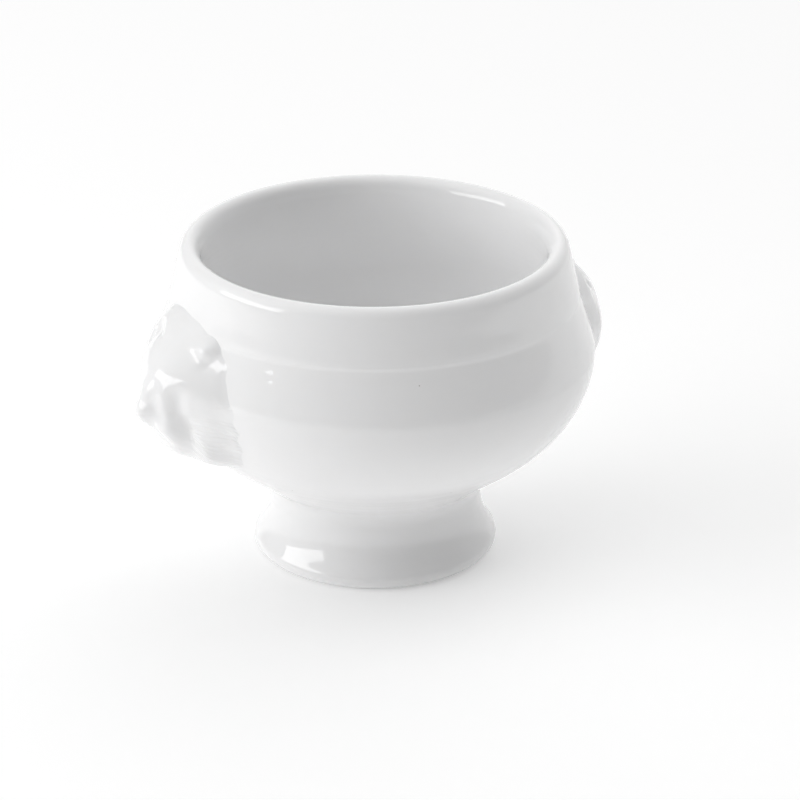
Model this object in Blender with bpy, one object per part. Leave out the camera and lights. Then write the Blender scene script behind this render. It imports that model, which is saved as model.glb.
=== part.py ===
"""Footed porcelain soup bowl with a lion head on each side.

Four clay pieces make the bowl: a turned body, a hollow pedestal foot and two pressed lion heads.
They are joined with slip before firing, so a thin slip seam lies wherever two of them meet.
Units are metres, +Z is up, the origin is the centre of the base and +X runs through the lion heads.
"""

import math
from dataclasses import dataclass

import bmesh
import bpy

# Bowl body, stacked up from the base
BELLY_RADIUS = 0.0642
UNDERSIDE_CLEARANCE = 0.0195
BELLY_DEPTH = 0.0430
RIDGE_ABOVE_BELLY = 0.0178
COLLAR_HEIGHT = 0.0155
SHOULDER_SETBACK = 0.0052
WALL_TURN = 0.0015
RIDGE_RISE = 0.0002
RIDGE_HALF_WIDTH = 0.0012
COLLAR_SLOPE = 0.172
LIP_SETBACK = 0.0052
LIP_HALF_WIDTH = 0.0029
LIP_HALF_HEIGHT = 0.0050
LIP_MEETING_ANGLE = 22.0
THROAT_HANDLE = 0.0050
INNER_SHOULDER_HANDLE = 0.0150
WALL_THICKNESS = 0.0050
FLOOR_THICKNESS = 0.0062

# Pedestal foot
FOOT_RADIUS = 0.0359
TOE_WIDTH = 0.0030
TOE_HEIGHT = 0.0023
FLARE_LOW_HANDLE = 0.0025
FLARE_HIGH_HANDLE = 0.0070
NECK_RADIUS = 0.0318
COVE_RADIUS = 0.0115
COVE_REACH = 0.0029
FOOT_WALL = 0.0052

# Slip seam between the clay pieces
SLIP_GAP = 0.0003

# Lion heads, measured from the head's centre
HEAD_DROP = 0.0007
HEAD_HALF_WIDTH = 0.0250
HEAD_HALF_HEIGHT = 0.0220
HEAD_EDGE = 0.0005
CROWN_ROUNDNESS = 2.3
RUFF_ROUNDNESS = 3.4
MANE_RISE = 0.0058
MANE_EDGE_POWER = 3.0
NOSE_RISE = 0.0132
FACE_EDGE_POWER = 8.0

# Fineness of the facets
TURN_SEGMENTS = 64
ARC_STEPS = 12
WALL_STEPS = 4
COLLAR_STEPS = 4
LIP_STEPS = 12
THROAT_STEPS = 6
TOE_STEPS = 5
FLARE_STEPS = 8
COVE_STEPS = 5
SEAT_STEPS = 4
COVE_HALVINGS = 50
COVE_TRIALS = 90
SMOOTH_ANGLE = 35.0
HEAD_SPOKES = 60
HEAD_RINGS = 18
HEAD_BACK_RINGS = 6

# Sizes that follow from the stack
BELLY_HEIGHT = UNDERSIDE_CLEARANCE + BELLY_DEPTH
RIDGE_HEIGHT = BELLY_HEIGHT + RIDGE_ABOVE_BELLY
RIM_HEIGHT = RIDGE_HEIGHT + COLLAR_HEIGHT
FLOOR_HEIGHT = UNDERSIDE_CLEARANCE + FLOOR_THICKNESS
RIDGE_RADIUS = BELLY_RADIUS - SHOULDER_SETBACK
LIP_RING_RADIUS = RIDGE_RADIUS - LIP_SETBACK
LIP_CENTRE_HEIGHT = RIM_HEIGHT - LIP_HALF_HEIGHT
HEAD_HEIGHT = BELLY_HEIGHT - HEAD_DROP


@dataclass(frozen=True)
class Swelling:
    """A rounded form of the lion's face.

    Its place and half sizes are shares of the head's half sizes, its rise is a share of the nose's rise
    and flat is the share of it that is level.
    """

    across: float
    up: float
    half_width: float
    half_height: float
    rise: float
    flat: float

    def build_up(self, clay, across, up):
        """Return the clay's height at a place on the face once this form is modelled on it."""
        aside = (abs(across) / HEAD_HALF_WIDTH - self.across) / self.half_width
        above = (up / HEAD_HALF_HEIGHT - self.up) / self.half_height
        slope = min(1.0, max(0.0, (1.0 - math.hypot(aside, above)) / (1.0 - self.flat)))
        share = slope * slope * (3.0 - 2.0 * slope)
        return clay + (NOSE_RISE * self.rise - clay) * share


# The face from the crown down: across, up, half width, half height, rise, flat
FACE = (
    Swelling(0.00, 0.27, 0.78, 0.70, 0.62, 0.1),
    Swelling(0.00, -0.18, 0.44, 0.76, 0.70, 0.5),
    Swelling(0.18, 0.19, 0.36, 0.40, 0.80, 0.1),
    Swelling(0.00, 0.04, 0.24, 0.42, 0.80, 0.1),
    Swelling(0.00, -0.23, 0.30, 0.32, 1.00, 0.2),
    Swelling(0.33, -0.38, 0.28, 0.30, 0.78, 0.1),
    Swelling(0.00, -0.64, 0.42, 0.30, 0.76, 0.4),
    Swelling(0.48, 0.64, 0.24, 0.32, 0.42, 0.1),
)


def ellipse_radius(height, half_width, half_height):
    """Return an upright ellipse's radius at a height above or below its widest point."""
    share = min(1.0, abs(height) / half_height)
    return half_width * math.sqrt(1.0 - share * share)


def underside_height(radius):
    """Return the height of the body's outer underside at a radius."""
    share = min(1.0, radius / BELLY_RADIUS)
    return BELLY_HEIGHT - BELLY_DEPTH * math.sqrt(1.0 - share * share)


def collar_end():
    """Return the radius and height at which the collar runs into the lip."""
    angle = math.radians(LIP_MEETING_ANGLE)
    radius = LIP_RING_RADIUS + LIP_HALF_WIDTH * math.cos(angle)
    return radius, LIP_CENTRE_HEIGHT + LIP_HALF_HEIGHT * math.sin(angle)


def outer_radius(height):
    """Return the body's outer radius, without its ridge, at a height between the underside and the lip."""
    above = height - BELLY_HEIGHT
    if above <= 0.0:
        return ellipse_radius(above, BELLY_RADIUS, BELLY_DEPTH)
    climb = height - RIDGE_HEIGHT
    if climb <= 0.0:
        lean = math.hypot(above, WALL_TURN) - WALL_TURN
        full = math.hypot(RIDGE_ABOVE_BELLY, WALL_TURN) - WALL_TURN
        return BELLY_RADIUS - SHOULDER_SETBACK * lean / full
    end_radius, end_height = collar_end()
    span = end_height - RIDGE_HEIGHT
    swell = (RIDGE_RADIUS - end_radius - COLLAR_SLOPE * span) / (span * span)
    return RIDGE_RADIUS - COLLAR_SLOPE * climb - swell * climb * climb


def seat_radius(height):
    """Return the radius of a head's back at a height, one slip seam clear of the body and its ridge."""
    step = RIDGE_HALF_WIDTH
    slope = (outer_radius(height + step) - outer_radius(height - step)) / (2.0 * step)
    seat = outer_radius(height) + SLIP_GAP * math.hypot(1.0, slope)
    reach = 2.0 * HEAD_HALF_HEIGHT / HEAD_BACK_RINGS
    near = max(0.0, 1.0 - max(0.0, abs(height - RIDGE_HEIGHT) - reach) / reach)
    crest = RIDGE_RADIUS + RIDGE_RISE + SLIP_GAP
    return max(seat, near * crest + (1.0 - near) * seat)


def arc_points(centre, half_sizes, start, end, steps):
    """Return points along an elliptical arc in the profile plane, with angles in degrees."""
    points = []
    for step in range(steps + 1):
        angle = math.radians(start + (end - start) * step / steps)
        radius = centre[0] + half_sizes[0] * math.cos(angle)
        height = centre[1] + half_sizes[1] * math.sin(angle)
        points.append((radius, height))
    return points


def bezier_points(first, first_handle, last_handle, last, steps):
    """Return points along a cubic curve in the profile plane."""
    points = []
    for step in range(steps + 1):
        t = step / steps
        weights = ((1 - t) ** 3, 3 * t * (1 - t) ** 2, 3 * t * t * (1 - t), t ** 3)
        corners = (first, first_handle, last_handle, last)
        points.append(tuple(sum(w * c[axis] for w, c in zip(weights, corners)) for axis in (0, 1)))
    return points


def wall_points(low, high, steps):
    """Return points up the body's outside between two heights, without the first."""
    heights = [low + (high - low) * step / steps for step in range(1, steps + 1)]
    return [(outer_radius(height), height) for height in heights]


def body_profile():
    """Return the body's outline from the underside's centre round the lip to the floor's centre."""
    belly = (0.0, BELLY_HEIGHT)
    outside = arc_points(belly, (BELLY_RADIUS, BELLY_DEPTH), -90.0, 0.0, ARC_STEPS)
    wall = wall_points(BELLY_HEIGHT, RIDGE_HEIGHT - RIDGE_HALF_WIDTH, WALL_STEPS)
    ridge = (RIDGE_RADIUS + RIDGE_RISE, RIDGE_HEIGHT)
    ridge_top = RIDGE_HEIGHT + RIDGE_HALF_WIDTH
    collar = [(outer_radius(ridge_top), ridge_top), *wall_points(ridge_top, collar_end()[1], COLLAR_STEPS)]
    lip_sizes = (LIP_HALF_WIDTH, LIP_HALF_HEIGHT)
    lip = arc_points((LIP_RING_RADIUS, LIP_CENTRE_HEIGHT), lip_sizes, LIP_MEETING_ANGLE, 180.0, LIP_STEPS)[1:]
    inner_radius = BELLY_RADIUS - WALL_THICKNESS
    inner_depth = BELLY_HEIGHT - FLOOR_HEIGHT
    throat_radius, throat_height = lip[-1]
    throat = bezier_points(
        (throat_radius, throat_height),
        (throat_radius, throat_height - THROAT_HANDLE),
        (inner_radius, BELLY_HEIGHT + INNER_SHOULDER_HANDLE),
        (inner_radius, BELLY_HEIGHT),
        THROAT_STEPS,
    )[1:]
    inside = arc_points(belly, (inner_radius, inner_depth), 0.0, -90.0, ARC_STEPS)[1:]
    return [*outside, *wall, ridge, *collar, *lip, *throat, *inside]


def cove_centre_height():
    """Return the height at which the neck's cove just touches the body's underside."""
    centre_radius = NECK_RADIUS + COVE_RADIUS
    low = -BELLY_HEIGHT
    high = BELLY_HEIGHT
    for _ in range(COVE_HALVINGS):
        middle = 0.5 * (low + high)
        sweep = arc_points((centre_radius, middle), (COVE_RADIUS, COVE_RADIUS), 90.0, 180.0, COVE_TRIALS)
        if all(height < underside_height(radius) - SLIP_GAP for radius, height in sweep):
            low = middle
        else:
            high = middle
    return low


def foot_profile():
    """Return the foot's closed outline: base, toe, flare, neck, seat under the body and hollow."""
    neck_height = cove_centre_height()
    base_radius = FOOT_RADIUS - TOE_WIDTH
    toe = arc_points((base_radius, TOE_HEIGHT), (TOE_WIDTH, TOE_HEIGHT), -90.0, 0.0, TOE_STEPS)
    flare = bezier_points(
        (FOOT_RADIUS, TOE_HEIGHT),
        (FOOT_RADIUS, TOE_HEIGHT + FLARE_LOW_HANDLE),
        (NECK_RADIUS, neck_height - FLARE_HIGH_HANDLE),
        (NECK_RADIUS, neck_height),
        FLARE_STEPS,
    )[1:]
    cove_end = 180.0 - math.degrees(math.acos(1.0 - min(1.0, COVE_REACH / COVE_RADIUS)))
    cove_at = (NECK_RADIUS + COVE_RADIUS, neck_height)
    cove = arc_points(cove_at, (COVE_RADIUS, COVE_RADIUS), 180.0, cove_end, COVE_STEPS)[1:]
    seat_outer = cove[-1][0]
    seat_inner = NECK_RADIUS - FOOT_WALL
    seat = []
    for step in range(SEAT_STEPS + 1):
        radius = seat_outer + (seat_inner - seat_outer) * step / SEAT_STEPS
        seat.append((radius, underside_height(radius) - SLIP_GAP))
    hollow = [(base_radius - FOOT_WALL, 0.0)]
    return [*toe, *flare, *cove, *seat, *hollow]


def porcelain(name):
    """Return a glazed white porcelain material."""
    material = bpy.data.materials.new(name)
    material.use_nodes = True
    shader = material.node_tree.nodes["Principled BSDF"]
    shader.inputs["Base Color"].default_value = (0.90, 0.90, 0.89, 1.0)
    shader.inputs["Roughness"].default_value = 0.12
    shader.inputs["Metallic"].default_value = 0.0
    return material


def finish_piece(name, mesh_builder, material, turn=0.0):
    """Close a bmesh into a named, smooth shaded object."""
    bmesh.ops.recalc_face_normals(mesh_builder, faces=mesh_builder.faces[:])
    mesh = bpy.data.meshes.new(name)
    mesh_builder.to_mesh(mesh)
    mesh_builder.free()
    mesh.shade_smooth()
    mesh.set_sharp_from_angle(angle=math.radians(SMOOTH_ANGLE))
    mesh.materials.append(material)
    piece = bpy.data.objects.new(name, mesh)
    piece.rotation_euler.z = turn
    bpy.context.scene.collection.objects.link(piece)
    return piece


def turned_ring(builder, radius, height):
    """Return one ring of vertices, or a single vertex where the outline meets the axis."""
    if radius < SLIP_GAP:
        return [builder.verts.new((0.0, 0.0, height))]
    ring = []
    for segment in range(TURN_SEGMENTS):
        angle = 2.0 * math.pi * segment / TURN_SEGMENTS
        ring.append(builder.verts.new((radius * math.cos(angle), radius * math.sin(angle), height)))
    return ring


def join_rings(builder, first, second):
    """Bridge two rings of vertices, either of which may be a single pole."""
    count = max(len(first), len(second))
    for step in range(count):
        after = (step + 1) % count
        if len(first) == 1:
            builder.faces.new((first[0], second[after], second[step]))
        elif len(second) == 1:
            builder.faces.new((first[step], first[after], second[0]))
        else:
            builder.faces.new((first[step], first[after], second[after], second[step]))


def turned_piece(name, profile, closed, material):
    """Turn an outline about the bowl's axis into a closed solid."""
    builder = bmesh.new()
    rings = [turned_ring(builder, radius, height) for radius, height in profile]
    for first, second in zip(rings, rings[1:]):
        join_rings(builder, first, second)
    if closed:
        join_rings(builder, rings[-1], rings[0])
    return finish_piece(name, builder, material)


def signed_power(value, power):
    """Raise a number's size to a power and keep its sign."""
    return math.copysign(abs(value) ** power, value)


def head_outline(angle):
    """Return the mane's outline round the head's centre, rounder at the crown than at the ruff."""
    roundness = CROWN_ROUNDNESS if math.sin(angle) >= 0.0 else RUFF_ROUNDNESS
    across = HEAD_HALF_WIDTH * signed_power(math.cos(angle), 2.0 / roundness)
    up = HEAD_HALF_HEIGHT * signed_power(math.sin(angle), 2.0 / roundness)
    return across, up


def head_relief(across, up, share):
    """Return the head's height above its seat, where share runs from the centre to the mane's edge."""
    clay = MANE_RISE * (1.0 - share ** MANE_EDGE_POWER)
    for form in FACE:
        clay = form.build_up(clay, across, up)
    return HEAD_EDGE + clay * min(1.0, FACE_EDGE_POWER * (1.0 - share))


def head_ring(builder, share, raised):
    """Return one ring of a head's front or back, or its centre vertex where share is 0."""
    ring = []
    for spoke in range(HEAD_SPOKES if share > 0.0 else 1):
        across, up = head_outline(2.0 * math.pi * spoke / HEAD_SPOKES)
        across *= share
        up *= share
        depth = math.sqrt(seat_radius(HEAD_HEIGHT + up) ** 2 - across * across)
        if raised:
            depth += head_relief(across, up, share)
        ring.append(builder.verts.new((depth, across, HEAD_HEIGHT + up)))
    return ring


def lion_head(name, material, turn):
    """Press one lion head: a relief front, a back that follows the body and a thin edge between."""
    builder = bmesh.new()
    front = [head_ring(builder, ring / HEAD_RINGS, True) for ring in range(HEAD_RINGS + 1)]
    back = [head_ring(builder, ring / HEAD_BACK_RINGS, False) for ring in range(HEAD_BACK_RINGS + 1)]
    rings = [*front, *reversed(back)]
    for first, second in zip(rings, rings[1:]):
        join_rings(builder, first, second)
    return finish_piece(name, builder, material, turn)


def main():
    """Clear the scene and build the bowl's four pieces."""
    for existing in list(bpy.data.objects):
        bpy.data.objects.remove(existing)
    turned_piece("bowl_body", body_profile(), False, porcelain("body_porcelain"))
    turned_piece("pedestal_foot", foot_profile(), True, porcelain("foot_porcelain"))
    lion_head("lion_head_right", porcelain("right_head_porcelain"), 0.0)
    lion_head("lion_head_left", porcelain("left_head_porcelain"), math.pi)


main()
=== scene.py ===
"""Looks of a footed white porcelain soup bowl with a lion head on each side.

The turned body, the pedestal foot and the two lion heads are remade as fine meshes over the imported
solids, dressed in a clear glaze over white porcelain and set on a pale floor in soft studio light.
Lengths are metres unless a name says otherwise; the carving of the heads is given in millimetres.
"""

import logging
import math
from dataclasses import dataclass, field
from enum import Enum

import bmesh
import bpy
import numpy as np
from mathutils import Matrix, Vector


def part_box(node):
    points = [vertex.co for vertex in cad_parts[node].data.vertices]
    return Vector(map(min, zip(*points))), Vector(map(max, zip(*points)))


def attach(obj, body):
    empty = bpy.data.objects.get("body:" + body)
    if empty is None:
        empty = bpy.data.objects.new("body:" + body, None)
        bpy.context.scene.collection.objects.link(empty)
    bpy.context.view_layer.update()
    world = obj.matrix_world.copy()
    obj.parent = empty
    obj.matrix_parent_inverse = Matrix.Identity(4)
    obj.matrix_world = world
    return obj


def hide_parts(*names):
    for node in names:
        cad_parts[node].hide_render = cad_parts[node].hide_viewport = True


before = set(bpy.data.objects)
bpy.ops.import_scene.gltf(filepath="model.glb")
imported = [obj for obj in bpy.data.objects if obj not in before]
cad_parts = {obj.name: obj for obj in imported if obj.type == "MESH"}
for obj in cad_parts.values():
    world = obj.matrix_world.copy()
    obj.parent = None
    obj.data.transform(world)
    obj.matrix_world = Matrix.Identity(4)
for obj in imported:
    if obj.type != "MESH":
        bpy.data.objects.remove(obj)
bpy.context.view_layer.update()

ROOT_BODY = "root"
MM = 0.001
LAP_STEPS = (0.2, 0.4, 0.7, 1.0)
TINY = 0.01

Points = list[tuple[float, float]]

logging.basicConfig(level=logging.INFO, format="%(name)s: %(message)s")
log = logging.getLogger("lion_head_bowl")


class Side(Enum):
    """Which end of the bowl's long axis a lion head faces."""

    LEFT = -1
    RIGHT = 1


def arc_points(centre: tuple[float, float], half_sizes: tuple[float, float], start: float, end: float,
               steps: int) -> Points:
    """Sample an elliptical arc in the profile plane.

    Args:
        centre: Radius and height of the arc's centre.
        half_sizes: Half width and half height of its ellipse.
        start: First angle in degrees.
        end: Last angle in degrees.
        steps: Number of straight steps.

    Returns:
        Radius and height pairs along the arc.
    """
    angles = np.radians(np.linspace(start, end, steps + 1))
    radii = centre[0] + half_sizes[0] * np.cos(angles)
    heights = centre[1] + half_sizes[1] * np.sin(angles)
    return list(zip(radii.tolist(), heights.tolist()))


def bezier_points(corners: tuple[tuple[float, float], ...], steps: int) -> Points:
    """Sample a cubic curve in the profile plane.

    Args:
        corners: First point, its handle, the last point's handle and the last point.
        steps: Number of straight steps.

    Returns:
        Radius and height pairs along the curve.
    """
    t = np.linspace(0.0, 1.0, steps + 1)[:, None]
    weights = np.hstack([(1 - t) ** 3, 3 * t * (1 - t) ** 2, 3 * t * t * (1 - t), t ** 3])
    return [tuple(point) for point in (weights @ np.array(corners)).tolist()]


def line_points(first: tuple[float, float], last: tuple[float, float], steps: int) -> Points:
    """Sample a straight stretch of a profile, without its two ends."""
    t = np.linspace(0.0, 1.0, steps + 1)[1:-1, None]
    return [tuple(point) for point in (np.array(first) * (1 - t) + np.array(last) * t).tolist()]


def smooth_step(low: float, high: float, value: np.ndarray) -> np.ndarray:
    """Ease from 0 to 1 as a value goes from low to high."""
    t = np.clip((value - low) / (high - low), 0.0, 1.0)
    return t * t * (3.0 - 2.0 * t)


@dataclass(frozen=True)
class GlazedPorcelain:
    """Clear gloss glaze over white porcelain, with faint turning rings and rare iron specks.

    Lengths are metres, but the radius of a speck is a share of the specks' spacing.
    """

    name: str
    body_colour: tuple[float, float, float] = (0.965, 0.965, 0.965)
    pooled_colour: tuple[float, float, float] = (0.955, 0.955, 0.96)
    roughness: float = 0.30
    body_shine: float = 0.0
    gloss_roughness: float = 0.035
    glow_depth: float = 0.0012
    glow_weight: float = 0.12
    glow_colours: tuple[float, float, float] = (1.0, 0.95, 0.9)
    gloss_index: float = 1.5
    cloud_size: float = 0.024
    cloud_detail: float = 3.0
    ripple_size: float = 0.006
    ripple_height: float = 0.00003
    ripple_detail: float = 1.0
    ring_pitch: float = 0.0026
    ring_height: float = 0.000006
    ring_wander: float = 1.5
    ring_detail: float = 2.0
    speck_size: float = 0.011
    speck_radius: float = 0.012
    speck_fade: float = 2.0
    speck_strength: float = 0.55
    speck_colour: tuple[float, float, float] = (0.30, 0.27, 0.24)

    def material(self) -> bpy.types.Material:
        """Build the node material.

        Returns:
            The finished material.
        """
        material = bpy.data.materials.new(self.name)
        material.use_nodes = True
        nodes = material.node_tree.nodes
        link = material.node_tree.links.new
        shader = nodes["Principled BSDF"]
        shader.inputs["Roughness"].default_value = self.roughness
        shader.inputs["Specular IOR Level"].default_value = self.body_shine
        shader.inputs["Coat Weight"].default_value = 1.0
        shader.inputs["Coat Roughness"].default_value = self.gloss_roughness
        shader.inputs["Coat IOR"].default_value = self.gloss_index
        shader.inputs["Subsurface Weight"].default_value = self.glow_weight
        shader.inputs["Subsurface Radius"].default_value = self.glow_colours
        shader.inputs["Subsurface Scale"].default_value = self.glow_depth
        place = nodes.new("ShaderNodeTexCoord")

        clouds = nodes.new("ShaderNodeTexNoise")
        clouds.inputs["Scale"].default_value = 1.0 / self.cloud_size
        clouds.inputs["Detail"].default_value = self.cloud_detail
        link(place.outputs["Object"], clouds.inputs["Vector"])
        tint = nodes.new("ShaderNodeMix")
        tint.data_type = "RGBA"
        tint.inputs["A"].default_value = (*self.body_colour, 1.0)
        tint.inputs["B"].default_value = (*self.pooled_colour, 1.0)
        link(clouds.outputs["Fac"], tint.inputs["Factor"])

        specks = nodes.new("ShaderNodeTexVoronoi")
        specks.inputs["Scale"].default_value = 1.0 / self.speck_size
        link(place.outputs["Object"], specks.inputs["Vector"])
        near = nodes.new("ShaderNodeMapRange")
        near.inputs["From Min"].default_value = self.speck_radius
        near.inputs["From Max"].default_value = self.speck_fade * self.speck_radius
        near.inputs["To Min"].default_value = self.speck_strength
        near.inputs["To Max"].default_value = 0.0
        link(specks.outputs["Distance"], near.inputs["Value"])
        spotted = nodes.new("ShaderNodeMix")
        spotted.data_type = "RGBA"
        spotted.inputs["B"].default_value = (*self.speck_colour, 1.0)
        link(near.outputs["Result"], spotted.inputs["Factor"])
        link(tint.outputs["Result"], spotted.inputs["A"])
        link(spotted.outputs["Result"], shader.inputs["Base Color"])

        ripple = nodes.new("ShaderNodeTexNoise")
        ripple.inputs["Scale"].default_value = 1.0 / self.ripple_size
        ripple.inputs["Detail"].default_value = self.ripple_detail
        link(place.outputs["Object"], ripple.inputs["Vector"])
        waves = nodes.new("ShaderNodeBump")
        waves.inputs["Distance"].default_value = self.ripple_height
        link(ripple.outputs["Fac"], waves.inputs["Height"])
        rings = nodes.new("ShaderNodeTexWave")
        rings.wave_type = "BANDS"
        rings.bands_direction = "Z"
        rings.inputs["Scale"].default_value = 1.0 / (math.pi * self.ring_pitch)
        rings.inputs["Distortion"].default_value = self.ring_wander
        rings.inputs["Detail"].default_value = self.ring_detail
        link(place.outputs["Object"], rings.inputs["Vector"])
        turned = nodes.new("ShaderNodeBump")
        turned.inputs["Distance"].default_value = self.ring_height
        link(rings.outputs["Fac"], turned.inputs["Height"])
        link(waves.outputs["Normal"], turned.inputs["Normal"])
        link(turned.outputs["Normal"], shader.inputs["Normal"])
        link(turned.outputs["Normal"], shader.inputs["Coat Normal"])
        return material


@dataclass(frozen=True)
class TurningTree:
    """A Geometry Nodes tree that turns an outline about the bowl's axis."""

    turns: int = 240
    wheel_radius: float = 0.05
    weld: float = 0.000002

    def node_group(self) -> bpy.types.NodeTree:
        """Build the tree: outline to curve, swept round a circle, poles welded, material set.

        Returns:
            The node group, with the inputs Turns, Wheel Radius and Finish.
        """
        tree = bpy.data.node_groups.new("turning_wheel", "GeometryNodeTree")
        tree.interface.new_socket("Geometry", in_out="INPUT", socket_type="NodeSocketGeometry")
        tree.interface.new_socket("Turns", in_out="INPUT", socket_type="NodeSocketInt")
        tree.interface.new_socket("Wheel Radius", in_out="INPUT", socket_type="NodeSocketFloat")
        tree.interface.new_socket("Finish", in_out="INPUT", socket_type="NodeSocketMaterial")
        tree.interface.new_socket("Geometry", in_out="OUTPUT", socket_type="NodeSocketGeometry")
        nodes = tree.nodes
        link = tree.links.new
        entry = nodes.new("NodeGroupInput")
        outline = nodes.new("GeometryNodeMeshToCurve")
        wheel = nodes.new("GeometryNodeCurvePrimitiveCircle")
        sweep = nodes.new("GeometryNodeCurveToMesh")
        weld = nodes.new("GeometryNodeMergeByDistance")
        real = nodes.new("GeometryNodeRealizeInstances")
        smooth = nodes.new("GeometryNodeSetShadeSmooth")
        paint = nodes.new("GeometryNodeSetMaterial")
        leave = nodes.new("NodeGroupOutput")
        weld.inputs["Distance"].default_value = self.weld
        link(entry.outputs["Geometry"], outline.inputs["Mesh"])
        link(entry.outputs["Turns"], wheel.inputs["Resolution"])
        link(entry.outputs["Wheel Radius"], wheel.inputs["Radius"])
        link(wheel.outputs["Curve"], sweep.inputs["Curve"])
        link(outline.outputs["Curve"], sweep.inputs["Profile Curve"])
        link(sweep.outputs["Mesh"], weld.inputs["Geometry"])
        link(weld.outputs["Geometry"], smooth.inputs["Geometry"])
        link(smooth.outputs["Geometry"], real.inputs["Geometry"])
        link(real.outputs["Geometry"], paint.inputs["Geometry"])
        link(entry.outputs["Finish"], paint.inputs["Material"])
        link(paint.outputs["Geometry"], leave.inputs["Geometry"])
        return tree

    def turn(self, name: str, profile: Points, closed: bool, finish: bpy.types.Material) -> bpy.types.Object:
        """Turn an outline into a finished piece.

        Args:
            name: The piece's name.
            profile: Radius and height pairs.
            closed: Whether the outline's last point joins its first.
            finish: Material of the turned piece.

        Returns:
            A plain mesh object at the origin.
        """
        corners = [(radius - self.wheel_radius, -height, 0.0) for radius, height in profile]
        edges = [(step, step + 1) for step in range(len(corners) - 1)]
        if closed:
            edges.append((len(corners) - 1, 0))
        outline = bpy.data.meshes.new(name + "_outline")
        outline.from_pydata(corners, edges, [])
        blank = bpy.data.objects.new(name + "_outline", outline)
        bpy.context.scene.collection.objects.link(blank)
        wheel = blank.modifiers.new("turning_wheel", "NODES")
        wheel.node_group = self.node_group()
        values = {"Turns": self.turns, "Wheel Radius": self.wheel_radius, "Finish": finish}
        for item in wheel.node_group.interface.items_tree:
            if item.in_out == "INPUT" and item.name in values:
                wheel[item.identifier] = values[item.name]
        graph = bpy.context.evaluated_depsgraph_get()
        mesh = bpy.data.meshes.new_from_object(blank.evaluated_get(graph))
        mesh.name = name
        bpy.data.objects.remove(blank)
        return finished_piece(name, mesh)


def finished_piece(name: str, mesh: bpy.types.Mesh) -> bpy.types.Object:
    """Put a mesh into the scene with its faces pointing outwards.

    Args:
        name: The piece's name.
        mesh: Its closed mesh, already in place.

    Returns:
        The object, at the origin.
    """
    builder = bmesh.new()
    builder.from_mesh(mesh)
    bmesh.ops.recalc_face_normals(builder, faces=builder.faces[:])
    builder.to_mesh(mesh)
    builder.free()
    mesh.shade_smooth()
    piece = bpy.data.objects.new(name, mesh)
    bpy.context.scene.collection.objects.link(piece)
    return piece


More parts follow.
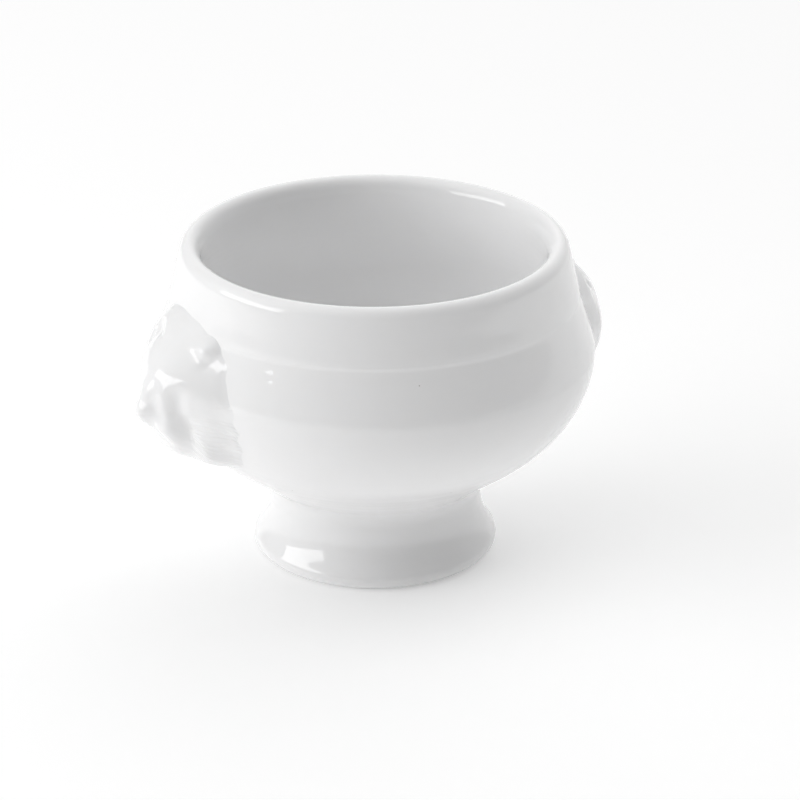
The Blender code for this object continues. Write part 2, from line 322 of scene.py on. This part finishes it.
@dataclass
class BowlBody:
    """The turned body: cove and cone under an elliptical belly, leaning wall, ridge, collar and lip."""

    node: str = "bowl_body"
    belly_depth: float = 43.0 * MM
    wall_turn: float = 2.2 * MM
    ridge_above_belly: float = 17.8 * MM
    ridge_radius: float = 59.0 * MM
    ridge_rise: float = 0.32 * MM
    ridge_lower_width: float = 1.1 * MM
    ridge_upper_width: float = 3.4 * MM
    collar_start: float = 0.172
    lip_ring_radius: float = 53.4 * MM
    lip_half_width: float = 3.3 * MM
    lip_half_height: float = 5.0 * MM
    lip_meeting: float = 22.0
    wall: float = 5.0 * MM
    floor_thickness: float = 6.2 * MM
    throat_drop: float = 9.0 * MM
    throat_swell: float = 7.0 * MM
    cone_tilt: float = 53.8
    neck_radius: float = 31.2 * MM
    cove_radius: float = 8.6 * MM
    skirt: float = 3.2 * MM
    skirt_tuck: float = 0.35 * MM
    skirt_reach: float = 1.5 * MM
    floor_steps: int = 12
    cove_steps: int = 28
    cone_steps: int = 8
    belly_steps: int = 72
    collar_steps: int = 124
    lip_steps: int = 40
    throat_steps: int = 32
    inside_steps: int = 60
    belly_radius: float = field(init=False)
    underside: float = field(init=False)
    top: float = field(init=False)
    belly_height: float = field(init=False)
    ridge_height: float = field(init=False)
    lip_height: float = field(init=False)

    def __post_init__(self) -> None:
        """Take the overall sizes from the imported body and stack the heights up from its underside."""
        low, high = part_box(self.node)
        self.belly_radius = float(high[0])
        self.underside = float(low[2])
        self.top = float(high[2])
        self.belly_height = self.underside + self.belly_depth
        self.ridge_height = self.belly_height + self.ridge_above_belly
        self.lip_height = self.top - self.lip_half_height

    def collar_end(self) -> tuple[float, float]:
        """Return where the collar runs into the lip's arc."""
        angle = math.radians(self.lip_meeting)
        radius = self.lip_ring_radius + self.lip_half_width * math.cos(angle)
        return radius, self.lip_height + self.lip_half_height * math.sin(angle)

    def outer_radius(self, height: np.ndarray) -> np.ndarray:
        """Return the outside radius at heights between the underside and the lip, without the ridge."""
        above = height - self.belly_height
        share = np.clip(above / self.belly_depth, -1.0, 0.0)
        belly = self.belly_radius * np.sqrt(1.0 - share * share)
        bend = self.wall_turn
        full = math.hypot(self.ridge_above_belly, bend) - bend
        wall = (self.belly_radius - self.ridge_radius) * (np.hypot(above, bend) - bend) / full
        end_radius, end_height = self.collar_end()
        span = end_height - self.ridge_height
        climb = height - self.ridge_height
        swell = (self.ridge_radius - end_radius - self.collar_start * span) / span ** 2
        collar = self.ridge_radius - self.collar_start * climb - swell * climb ** 2
        lower = np.where(above <= 0.0, belly, self.belly_radius - wall)
        return np.where(climb <= 0.0, lower, collar)

    def bead(self, height: np.ndarray) -> np.ndarray:
        """Return how far the ridge stands out of the wall at a height."""
        above = height - self.ridge_height
        width = np.where(above < 0.0, self.ridge_lower_width, self.ridge_upper_width)
        return self.ridge_rise * np.exp(-(above / width) ** 2)

    def underside_at(self, radius: np.ndarray) -> np.ndarray:
        """Return the height of the underside's ellipse at a radius."""
        share = np.clip(radius / self.belly_radius, 0.0, 1.0)
        return self.belly_height - self.belly_depth * np.sqrt(1.0 - share * share)

    def cove(self) -> tuple[float, float]:
        """Find the cone that leaves the underside's ellipse and runs down into the neck's cove.

        Returns:
            Height of the cove's centre, and the angle in degrees at which the cone leaves the ellipse.
        """
        tilt = math.radians(self.cone_tilt)
        leaving = math.atan(math.tan(tilt) * self.belly_depth / self.belly_radius)
        start_radius = self.belly_radius * math.cos(leaving)
        start_height = self.belly_height - self.belly_depth * math.sin(leaving)
        run = start_radius - self.neck_radius - self.cove_radius * (1.0 - math.cos(tilt))
        neck_height = start_height - run / math.tan(tilt) - self.cove_radius * math.sin(tilt)
        return neck_height, -math.degrees(leaving)

    def lap(self, way: float) -> Points:
        """Return the lap that hides the seam between body and foot, from the neck outwards.

        Args:
            way: 1 for the foot's tongue, which runs up, and -1 for the body's skirt, which runs down.

        Returns:
            Radius and height pairs, each a little further inside the other piece.
        """
        neck_height, _ = self.cove()
        points = []
        for share in LAP_STEPS:
            radius = self.neck_radius - share ** 2 * self.skirt_tuck
            points.append((radius, neck_height + way * share * self.skirt_reach))
        return points

    def underneath(self) -> Points:
        """Return the outline under the belly: hidden floor, skirt lost in the foot, neck and cove."""
        neck_height, leaving = self.cove()
        belly = (0.0, self.belly_height)
        sizes = (self.belly_radius, self.belly_depth)
        inner = self.neck_radius - self.skirt
        last_angle = -math.degrees(math.acos(inner / self.belly_radius))
        hidden = arc_points(belly, sizes, -90.0, last_angle, self.floor_steps)
        skirt = self.lap(-1.0)[::-1]
        centre = (self.neck_radius + self.cove_radius, neck_height)
        round_sizes = (self.cove_radius, self.cove_radius)
        cove = arc_points(centre, round_sizes, 180.0, 180.0 - self.cone_tilt, self.cove_steps)
        swell = arc_points(belly, sizes, leaving, 0.0, self.belly_steps)
        cone = line_points(cove[-1], swell[0], self.cone_steps)
        return [*hidden, (inner, skirt[0][1]), *skirt, *cove, *cone, *swell]

    def profile(self) -> Points:
        """Return the outline from the underside's centre round the lip to the floor's centre."""
        belly = (0.0, self.belly_height)
        heights = np.linspace(self.belly_height, self.collar_end()[1], self.collar_steps)[1:-1]
        collar = list(zip((self.outer_radius(heights) + self.bead(heights)).tolist(), heights.tolist()))
        lip_sizes = (self.lip_half_width, self.lip_half_height)
        lip_centre = (self.lip_ring_radius, self.lip_height)
        lip = arc_points(lip_centre, lip_sizes, self.lip_meeting, 180.0, self.lip_steps)
        inner = self.belly_radius - self.wall
        depth = self.belly_height - self.underside - self.floor_thickness
        throat = lip[-1]
        neck = bezier_points((throat, (throat[0], throat[1] - self.throat_drop),
                              (inner, self.belly_height + self.throat_swell),
                              (inner, self.belly_height)), self.throat_steps)[1:-1]
        inside = arc_points(belly, (inner, depth), 0.0, -90.0, self.inside_steps)
        return [*self.underneath(), *collar, *lip, *neck, *inside]

    def build(self, wheel: TurningTree, finish: GlazedPorcelain) -> bpy.types.Object:
        """Turn and glaze the body.

        Args:
            wheel: The turning tree.
            finish: Its glaze.

        Returns:
            The finished piece.
        """
        piece = wheel.turn("turned_body", self.profile(), False, finish.material())
        dress(piece, self.node)
        return piece


@dataclass
class PedestalFoot:
    """The hollow pedestal: neck, flare, rounded toe and standing ring."""

    body: BowlBody
    node: str = "pedestal_foot"
    toe_width: float = 3.0 * MM
    toe_height: float = 2.9 * MM
    toe_turn: float = 24.0
    flare_low_handle: float = 2.0 * MM
    flare_high_handle: float = 8.0 * MM
    wall: float = 5.2 * MM
    ring_edge: float = 0.9 * MM
    toe_steps: int = 30
    flare_steps: int = 44
    hollow_steps: int = 12
    edge_steps: int = 8
    foot_radius: float = field(init=False)

    def __post_init__(self) -> None:
        """Take the foot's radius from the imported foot."""
        self.foot_radius = float(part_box(self.node)[1][0])

    def profile(self) -> Points:
        """Return the foot's closed outline, its top edge lost in the body's skirt."""
        neck_height, _ = self.body.cove()
        neck_radius = self.body.neck_radius
        base = self.foot_radius - self.toe_width
        sizes = (self.toe_width, self.toe_height)
        toe = arc_points((base, self.toe_height), sizes, -90.0, self.toe_turn, self.toe_steps)
        turn = math.radians(self.toe_turn)
        lean = np.array((-self.toe_width * math.sin(turn), self.toe_height * math.cos(turn)))
        handle = np.array(toe[-1]) + self.flare_low_handle * lean / np.linalg.norm(lean)
        flare = bezier_points((
            toe[-1],
            tuple(handle.tolist()),
            (neck_radius, neck_height - self.flare_high_handle),
            (neck_radius, neck_height),
        ), self.flare_steps)[1:]
        tongue = self.body.lap(1.0)
        inner_top = neck_radius - self.wall
        seat = (inner_top, float(self.body.underside_at(np.array(inner_top))) + self.body.skirt_tuck)
        inner_base = base - self.wall
        edge = self.ring_edge
        hollow = [seat, *line_points(seat, (inner_base, edge), self.hollow_steps)]
        rounding = arc_points((inner_base + edge, edge), (edge, edge), 180.0, 270.0, self.edge_steps)
        return [*toe, *flare, *tongue, *hollow, *rounding]

    def build(self, wheel: TurningTree, finish: GlazedPorcelain) -> bpy.types.Object:
        """Turn and glaze the foot.

        Args:
            wheel: The turning tree.
            finish: Its glaze.

        Returns:
            The finished piece.
        """
        piece = wheel.turn("turned_foot", self.profile(), True, finish.material())
        dress(piece, self.node)
        return piece


@dataclass(frozen=True)
class ClayForm:
    """One soft modelling stroke on a head, in millimetres from the head's centre.

    The stroke presses or builds the clay up to its height, most at its middle and not at all past its edge.
    """

    name: str
    across: float
    up: float
    half_width: float
    half_height: float
    height: float
    lean: float = 0.0
    flat: float = 0.0

    def apply(self, clay: np.ndarray, across: np.ndarray, up: np.ndarray) -> np.ndarray:
        """Work the stroke into the clay on both cheeks.

        Args:
            clay: Heights so far, in millimetres.
            across: Places across the head.
            up: Places up the head.

        Returns:
            The new heights.
        """
        turn = math.radians(self.lean)
        aside = np.abs(across) - self.across
        above = up - self.up
        wide = (aside * math.cos(turn) - above * math.sin(turn)) / self.half_width
        tall = (aside * math.sin(turn) + above * math.cos(turn)) / self.half_height
        share = smooth_step(1.0, self.flat, np.hypot(wide, tall))
        return clay + (self.height - clay) * share


FACE = (
    ClayForm("forehead", 0.0, 5.0, 22.0, 19.0, 9.8, 0.0, 0.06),
    ClayForm("jaw", 0.0, -8.0, 13.0, 13.0, 9.2, 0.0, 0.7),
    ClayForm("cheek", 0.0, 0.2, 9.4, 8.0, 9.2, 0.0, 0.72),
    ClayForm("temple", 11.6, 1.0, 3.8, 5.5, 5.0, -12.0),
    ClayForm("eye_line", 4.6, 0.2, 4.5, 1.6, 8.9, -20.0),
    ClayForm("nose_bridge", 0.0, 1.0, 6.0, 9.0, 11.2),
    ClayForm("nose_tip", 0.0, -4.8, 7.6, 7.0, 14.2),
    ClayForm("whisker_pad", 6.2, -8.0, 6.2, 5.4, 10.8),
    ClayForm("nose_side", 3.8, -6.8, 1.9, 3.0, 10.2),
    ClayForm("chin", 0.0, -13.6, 9.5, 6.2, 9.8, 0.0, 0.4),
    ClayForm("ear_fold", 8.4, 15.8, 4.6, 1.5, 3.9, -22.0),
    ClayForm("ear_tuft", 11.4, 15.6, 4.4, 4.4, 3.7, 30.0),
    ClayForm("ear_hollow", 14.6, 12.4, 1.5, 3.0, 1.3, 42.0),
)


@dataclass
class LionHead:
    """One pressed lion head: soft shield of a mane, ears, brow, muzzle and combed hair.

    Lengths are millimetres from the head's centre. A name that ends in up is a height there, and the near
    side is the one where across is above 0. Shares, shoulders and starts run from 0 at the centre to 1 at
    the mane's edge.
    """

    body: BowlBody
    side: Side
    drop: float = 0.7
    half_width: float = 27.5
    cheek_half_width: float = 27.0
    crown_height: float = 23.0
    ruff_height: float = 22.5
    crown_roundness: float = 3.0
    mane_roundness: float = 2.9
    near_roundness: float = 2.6
    near_crown_height: float = 17.0
    near_crown_rise: float = 2.1
    ruff_roundness: float = 2.9
    mane_rise: float = 6.0
    crown_rise: float = 5.4
    ledge_share: float = 0.75
    ledge_start: float = 0.78
    crown_shoulder: float = 0.2
    cheek_shoulder: float = 0.60
    ruff_shoulder: float = 0.84
    hem_softness: float = 1.5
    rim_share: float = 0.92
    glaze_passes: int = 50
    lock_count: int = 24
    lock_depth: float = 0.11
    strand_count: int = 110
    strand_depth: float = 0.07
    mouth_up: float = -10.0
    mouth_droop: float = 0.05
    mouth_width: float = 1.4
    mouth_depth: float = 1.2
    tuck: float = 0.15
    crown_tuck: float = 0.7
    lobe_up: float = 12.6
    lobe_half_height: float = 3.0
    tuck_start: float = 1.0
    tuck_full: float = 6.0
    tuck_blend: float = 3.0
    middle: float = 8.0
    jowl_up: float = -12.0
    cheek_up: float = 6.0
    brow_up: float = 13.0
    downward_start: float = 0.55
    downward_full: float = 0.95
    ruff_up: float = -16.0
    crown_up: float = 3.0
    mouth_end: float = 8.0
    mouth_corner: float = 5.5
    hair_root: float = -4.0
    hair_top: float = 6.0
    hair_full: float = -8.0
    hair_line: float = 1.3
    face_up: float = -2.0
    face_half_width: float = 12.0
    face_half_height: float = 17.0
    sway_depth: float = 0.04
    sway_count: float = 7.0
    sway_length: float = 4.0
    lock_curl: float = 0.10
    strand_wander: float = 0.8
    strand_wander_count: float = 9.0
    back: float = 1.2
    back_rings: tuple[float, ...] = (0.7, 0.35)
    cells: int = 288

    @property
    def node(self) -> str:
        """Return the solid that this head stands for."""
        return "lion_head_left" if self.side is Side.LEFT else "lion_head_right"

    def outline(self, angle: np.ndarray) -> tuple[np.ndarray, np.ndarray]:
        """Return the mane's outline at angles round the head's centre, in millimetres."""
        power = np.where(np.sin(angle) >= 0.0, 2.0 / self.crown_roundness, 2.0 / self.ruff_roundness)
        across = self.half_width * np.sign(np.cos(angle)) * np.abs(np.cos(angle)) ** power
        tall = np.where(np.sin(angle) >= 0.0, self.crown_height, self.ruff_height)
        up = tall * np.sign(np.sin(angle)) * np.abs(np.sin(angle)) ** power
        return across, up

    def hair(self, across: np.ndarray, up: np.ndarray) -> np.ndarray:
        """Return the relief of the combed mane, which fans out from the face."""
        above = up - self.hair_root
        angle = np.arctan2(above, np.abs(across))
        reach = np.hypot(across, above)
        sway = angle + self.sway_depth * np.sin(self.sway_count * angle + reach / self.sway_length)
        locks = np.sin(self.lock_count * sway + self.lock_curl * reach)
        wander = self.strand_wander * np.sin(self.strand_wander_count * angle)
        strands = np.sin(self.strand_count * sway + wander)
        ring = np.hypot(across / self.face_half_width, (up - self.face_up) / self.face_half_height)
        growth = smooth_step(1.0, self.hair_line, ring) * smooth_step(self.hair_top, self.hair_full, up)
        return growth * (self.lock_depth * locks + self.strand_depth * strands)

    def relief(self, across: np.ndarray, up: np.ndarray, share: np.ndarray) -> np.ndarray:
        """Model the head's height above the bowl.

        Args:
            across: Places across the head, in millimetres.
            up: Places up the head, in millimetres.
            share: 0 at the head's centre and 1 at the mane's edge.

        Returns:
            Heights in millimetres.
        """
        aside = np.abs(across)
        near = smooth_step(-self.middle, self.middle, across)
        round_top = self.mane_roundness + (self.near_roundness - self.mane_roundness) * near
        high_top = self.crown_height + (self.near_crown_height - self.crown_height) * near
        power = np.where(up >= 0.0, round_top, self.ruff_roundness)
        tall = np.where(up >= 0.0, high_top, self.ruff_height)
        jowl = smooth_step(0.0, self.jowl_up, up)
        wide = self.cheek_half_width + (self.half_width - self.cheek_half_width) * jowl
        reach = ((aside / wide) ** power + (np.abs(up) / tall) ** power) ** (1.0 / power)
        cheek = smooth_step(self.brow_up, self.cheek_up, up)
        shoulder = self.crown_shoulder + (self.cheek_shoulder - self.crown_shoulder) * cheek
        below = -up / tall / np.maximum(reach, TINY)
        downward = smooth_step(self.downward_start, self.downward_full, below)
        shoulder = shoulder + (self.ruff_shoulder - self.cheek_shoulder) * downward
        high = smooth_step(self.ruff_up, self.crown_up, up)
        crown = self.crown_rise + (self.near_crown_rise - self.crown_rise) * near
        rise = self.mane_rise + (crown - self.mane_rise) * high
        ledge = self.ledge_share * high * (1.0 - near)
        softness = self.hem_softness + (1.0 - self.hem_softness) * downward
        clay = rise * ((1.0 - ledge) * smooth_step(1.0, shoulder, reach) ** softness
                       + ledge * smooth_step(1.0, self.ledge_start, reach))
        for form in FACE:
            clay = form.apply(clay, across, up)
        mouth = up - self.mouth_up + self.mouth_droop * aside * aside
        lips = np.exp(-(mouth / (0.5 * self.mouth_width)) ** 2)
        lips = lips * smooth_step(self.mouth_end, self.mouth_corner, aside)
        clay = self.soften(clay - self.mouth_depth * lips) + self.hair(across, up)
        clay = np.maximum(clay, 0.0) * smooth_step(1.0, self.rim_share, share)
        lobe = np.exp(-((up - self.lobe_up) / self.lobe_half_height) ** 2)
        pressed = smooth_step(self.tuck_start, self.tuck_full, up) * (1.0 - lobe)
        tuck = self.tuck + (self.crown_tuck - self.tuck) * pressed
        return clay - tuck * smooth_step(self.tuck_blend * tuck, 0.0, clay)

    def soften(self, clay: np.ndarray) -> np.ndarray:
        """Round the modelling off, as a thick glaze does."""
        for _ in range(self.glaze_passes):
            padded = np.pad(clay, 1, mode="edge")
            clay = (padded[:-2, 1:-1] + 2.0 * padded[1:-1, 1:-1] + padded[2:, 1:-1]) / 4.0
            padded = np.pad(clay, 1, mode="edge")
            clay = (padded[1:-1, :-2] + 2.0 * padded[1:-1, 1:-1] + padded[1:-1, 2:]) / 4.0
        return clay

    def vertices(self, across: np.ndarray, up: np.ndarray, rise: np.ndarray) -> np.ndarray:
        """Place points of the head in the bowl's frame.

        Args:
            across: Places across the head, in millimetres.
            up: Places up the head, in millimetres.
            rise: Heights above the bowl, in millimetres.

        Returns:
            An array of places in metres.
        """
        height = self.body.belly_height + (up - self.drop) * MM
        radius = self.body.outer_radius(height)
        depth = np.sqrt(radius ** 2 - (across * MM) ** 2) + rise * MM
        turn = self.side.value
        return np.stack([turn * depth, turn * across * MM, height], axis=-1)

    def mesh(self, name: str) -> bpy.types.Mesh:
        """Build the closed head: a fine relief front and a plain back hidden in the bowl's wall."""
        span = np.linspace(-1.0, 1.0, self.cells + 1)
        x, y = np.meshgrid(span, span, indexing="ij")
        u = x * np.sqrt(1.0 - y * y / 2.0)
        v = y * np.sqrt(1.0 - x * x / 2.0)
        share = np.clip(np.hypot(u, v), 0.0, 1.0)
        edge_across, edge_up = self.outline(np.arctan2(v, u))
        across = share * edge_across
        up = share * edge_up
        front = self.vertices(across, up, self.relief(across, up, share))
        count = self.cells + 1
        index = np.arange(count * count).reshape(count, count)
        sides = [index[:-1, :-1], index[1:, :-1], index[1:, 1:], index[:-1, 1:]]
        quads = np.stack(sides, axis=-1).reshape(-1, 4)
        loop = np.concatenate([index[:-1, 0], index[-1, :-1], index[:0:-1, -1], index[0, :0:-1]])
        points = [front.reshape(-1, 3)]
        faces = [quads]
        last = loop
        total = count * count
        for inset in self.back_rings:
            ring_across = across.reshape(-1)[loop] * inset
            ring_up = up.reshape(-1)[loop] * inset
            points.append(self.vertices(ring_across, ring_up, np.full(loop.size, -self.back)))
            ring = total + np.arange(loop.size)
            total += loop.size
            faces.append(np.stack([last, ring, np.roll(ring, -1), np.roll(last, -1)], axis=-1))
            last = ring
        points.append(self.vertices(np.zeros(1), np.zeros(1), np.full(1, -self.back)))
        fan = [(int(first), total, int(second)) for first, second in zip(last, np.roll(last, -1))]
        mesh = bpy.data.meshes.new(name)
        mesh.from_pydata(np.vstack(points).tolist(), [], [*np.vstack(faces).tolist(), *fan])
        mesh.update()
        return mesh

    def build(self, finish: GlazedPorcelain) -> bpy.types.Object:
        """Press and glaze the head.

        Args:
            finish: Its glaze.

        Returns:
            The finished piece.
        """
        name = "carved_" + self.node
        mesh = self.mesh(name)
        mesh.materials.append(finish.material())
        piece = finished_piece(name, mesh)
        dress(piece, self.node)
        return piece


def dress(piece: bpy.types.Object, node: str) -> None:
    """Tie a finished piece to the bowl and log it.

    Args:
        piece: The finished mesh.
        node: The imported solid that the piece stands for.
    """
    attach(piece, ROOT_BODY)
    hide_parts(node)
    log.info("%s: %d faces", piece.name, len(piece.data.polygons))


@dataclass(frozen=True)
class Softbox:
    """A rectangular studio light that faces the bowl.

    Its azimuth is counted in degrees from the camera's side, clockwise from above.
    """

    name: str
    azimuth: float
    elevation: float
    distance: float
    width: float
    depth: float
    power: float


@dataclass(frozen=True)
class TentPanel:
    """A softly bright side of the white light tent round the bowl, placed as a softbox is."""

    azimuth: float
    elevation: float
    strength: float


@dataclass
class Studio:
    """Pale floor, soft light and a camera at the photograph's angle."""

    azimuth: float = -30.0
    tilt: float = 23.57
    camera_right: float = 0.00738
    camera_back: float = 0.91842
    camera_height: float = 0.44557
    focal_pixels: float = 3412.5
    image_pixels: float = 800.0
    sensor: float = 36.0
    floor_half: float = 4.0
    floor_colour: tuple[float, float, float] = (0.92, 0.92, 0.92)
    floor_glow: float = 0.17
    floor_roughness: float = 0.9
    floor_shine: float = 0.1
    near_clip: float = 0.01
    target: Vector = field(default_factory=lambda: Vector((0.0, 0.0, 0.05)))
    boxes: tuple[Softbox, ...] = (
        Softbox("key_softbox", 74.6, 18.5, 1.3, 1.0, 0.38, 4.65),
    )
    tent_focus: float = 6.0
    sweep_angle: float = 20.0
    sweep_strength: float = 0.10
    tent: tuple[TentPanel, ...] = (
        TentPanel(0.0, 90.0, 0.52),
        TentPanel(45.0, 55.0, 0.50),
        TentPanel(90.0, 20.0, 0.45),
        TentPanel(90.0, 55.0, 0.75),
        TentPanel(180.0, 20.0, 0.90),
        TentPanel(225.0, 20.0, 0.50),
        TentPanel(225.0, 55.0, 0.95),
        TentPanel(270.0, 55.0, 0.25),
    )

    def place(self, right: float, away: float, up: float) -> Vector:
        """Return a place given as steps to the camera's right, away from it and up."""
        turn = math.radians(self.azimuth)
        along = Vector((math.cos(turn), math.sin(turn), 0.0)) * right
        return along + Vector((-math.sin(turn), math.cos(turn), 0.0)) * away + Vector((0.0, 0.0, up))

    def lay_floor(self) -> None:
        """Lay the pale floor under the bowl."""
        half = self.floor_half
        mesh = bpy.data.meshes.new("floor")
        corners = [(-half, -half, 0), (half, -half, 0), (half, half, 0), (-half, half, 0)]
        mesh.from_pydata(corners, [], [(0, 1, 2, 3)])
        floor = bpy.data.objects.new("floor", mesh)
        bpy.context.scene.collection.objects.link(floor)
        material = bpy.data.materials.new("pale_floor")
        material.use_nodes = True
        shader = material.node_tree.nodes["Principled BSDF"]
        shader.inputs["Base Color"].default_value = (*self.floor_colour, 1.0)
        shader.inputs["Roughness"].default_value = self.floor_roughness
        shader.inputs["Specular IOR Level"].default_value = self.floor_shine
        shader.inputs["Emission Color"].default_value = (1.0, 1.0, 1.0, 1.0)
        shader.inputs["Emission Strength"].default_value = self.floor_glow
        mesh.materials.append(material)

    def direction(self, azimuth: float, elevation: float) -> Vector:
        """Return the way from the bowl to a light, given in degrees round from the camera's side and up."""
        turn = math.radians(azimuth)
        lift = math.radians(elevation)
        level = math.cos(lift)
        return self.place(-level * math.sin(turn), -level * math.cos(turn), math.sin(lift))

    def hang_lights(self) -> None:
        """Hang the softboxes."""
        for box in self.boxes:
            lamp = bpy.data.lights.new(box.name, "AREA")
            lamp.shape = "RECTANGLE"
            lamp.size = box.width
            lamp.size_y = box.depth
            lamp.energy = box.power
            holder = bpy.data.objects.new(box.name, lamp)
            way = self.direction(box.azimuth, box.elevation)
            holder.location = self.target + box.distance * way
            holder.rotation_euler = way.to_track_quat("Z", "Y").to_euler()
            bpy.context.scene.collection.objects.link(holder)

    def sweep(self, world: bpy.types.World, place: bpy.types.Node) -> bpy.types.NodeSocket:
        """Let the pale floor sweep up into the tent, so that the glaze mirrors no hard horizon.

        Args:
            world: The tent's world.
            place: Its texture coordinates.

        Returns:
            The sweep's brightness, which fades out with height.
        """
        nodes = world.node_tree.nodes
        link = world.node_tree.links.new
        parts = nodes.new("ShaderNodeSeparateXYZ")
        link(place.outputs["Generated"], parts.inputs["Vector"])
        fade = nodes.new("ShaderNodeMapRange")
        fade.interpolation_type = "SMOOTHERSTEP"
        fade.inputs["From Min"].default_value = 0.0
        fade.inputs["From Max"].default_value = math.sin(math.radians(self.sweep_angle))
        fade.inputs["To Min"].default_value = self.sweep_strength
        fade.inputs["To Max"].default_value = 0.0
        link(parts.outputs["Z"], fade.inputs["Value"])
        return fade.outputs["Result"]

    def pitch_tent(self) -> None:
        """Pitch the light tent: a world whose brightness swells softly towards each panel."""
        world = bpy.data.worlds.new("light_tent")
        bpy.context.scene.world = world
        world.use_nodes = True
        nodes = world.node_tree.nodes
        link = world.node_tree.links.new
        place = nodes.new("ShaderNodeTexCoord")
        glow = self.sweep(world, place)
        for panel in self.tent:
            facing = nodes.new("ShaderNodeVectorMath")
            facing.operation = "DOT_PRODUCT"
            facing.inputs[1].default_value = self.direction(panel.azimuth, panel.elevation)
            link(place.outputs["Generated"], facing.inputs[0])
            lit = nodes.new("ShaderNodeMath")
            lit.operation = "MAXIMUM"
            lit.inputs[1].default_value = 0.0
            link(facing.outputs["Value"], lit.inputs[0])
            swell = nodes.new("ShaderNodeMath")
            swell.operation = "POWER"
            swell.inputs[1].default_value = self.tent_focus
            link(lit.outputs["Value"], swell.inputs[0])
            total = nodes.new("ShaderNodeMath")
            total.operation = "MULTIPLY_ADD"
            total.inputs[1].default_value = panel.strength
            link(swell.outputs["Value"], total.inputs[0])
            link(glow, total.inputs[2])
            glow = total.outputs["Value"]
        nodes["Background"].inputs["Color"].default_value = (1.0, 1.0, 1.0, 1.0)
        link(glow, nodes["Background"].inputs["Strength"])

    def set_camera(self) -> None:
        """Set the camera where the photograph was taken from."""
        lens = bpy.data.cameras.new("photo_camera")
        lens.sensor_width = self.sensor
        lens.lens = self.focal_pixels / self.image_pixels * self.sensor
        lens.clip_start = self.near_clip
        camera = bpy.data.objects.new("photo_camera", lens)
        camera.location = self.place(self.camera_right, -self.camera_back, self.camera_height)
        camera.rotation_euler = (math.radians(90.0 - self.tilt), 0.0, math.radians(self.azimuth))
        bpy.context.scene.collection.objects.link(camera)
        bpy.context.scene.camera = camera
        bpy.context.scene.view_settings.view_transform = "Standard"

    def build(self) -> None:
        """Set up the whole studio."""
        self.lay_floor()
        self.hang_lights()
        self.pitch_tent()
        self.set_camera()


def main() -> None:
    """Build every piece of the bowl, then the studio round it."""
    wheel = TurningTree()
    body = BowlBody()
    body.build(wheel, GlazedPorcelain("body_glaze"))
    PedestalFoot(body).build(wheel, GlazedPorcelain("foot_glaze"))
    for side in Side:
        LionHead(body, side).build(GlazedPorcelain("head_glaze_" + side.name.lower(), ring_height=0.0))
    Studio().build()


if __name__ == "__main__":
    main()
